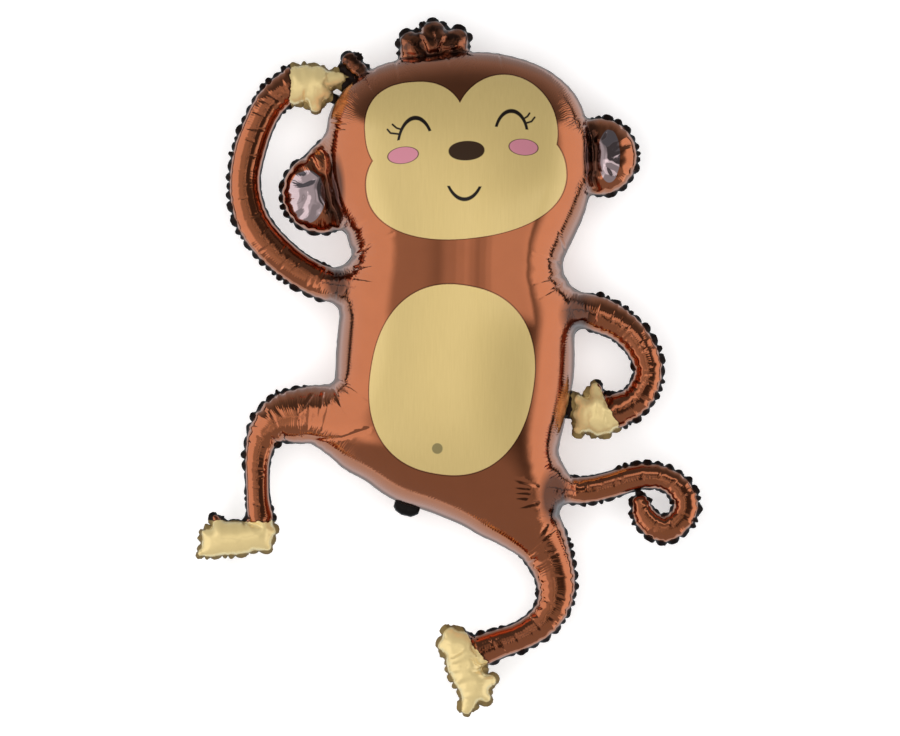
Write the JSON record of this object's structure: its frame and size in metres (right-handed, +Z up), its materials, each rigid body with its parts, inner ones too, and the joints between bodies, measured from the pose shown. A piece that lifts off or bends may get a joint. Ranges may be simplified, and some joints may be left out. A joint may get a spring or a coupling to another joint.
{
  "type": "monkey foil balloon",
  "caption": "Inflated monkey-shaped foil balloon lying on its back, with a flat welded rim, tube limbs, curled tail and a filling tab.",
  "frame": {"origin": "below the middle of the balloon's bounding box, on the surface it lies on", "axes": "+Y from feet to head along the longest extent, +Z up through the printed front, +X to the picture's right"},
  "size_m": [0.8096, 1.117, 0.294],
  "materials": {
    "foil": "thin plastic film with a mirror-bright aluminium coat, printed clear brown with satin gold areas"
  },
  "bodies": {
    "root": {"monkey_foil_balloon": "foil"}
  },
  "joints": []
}
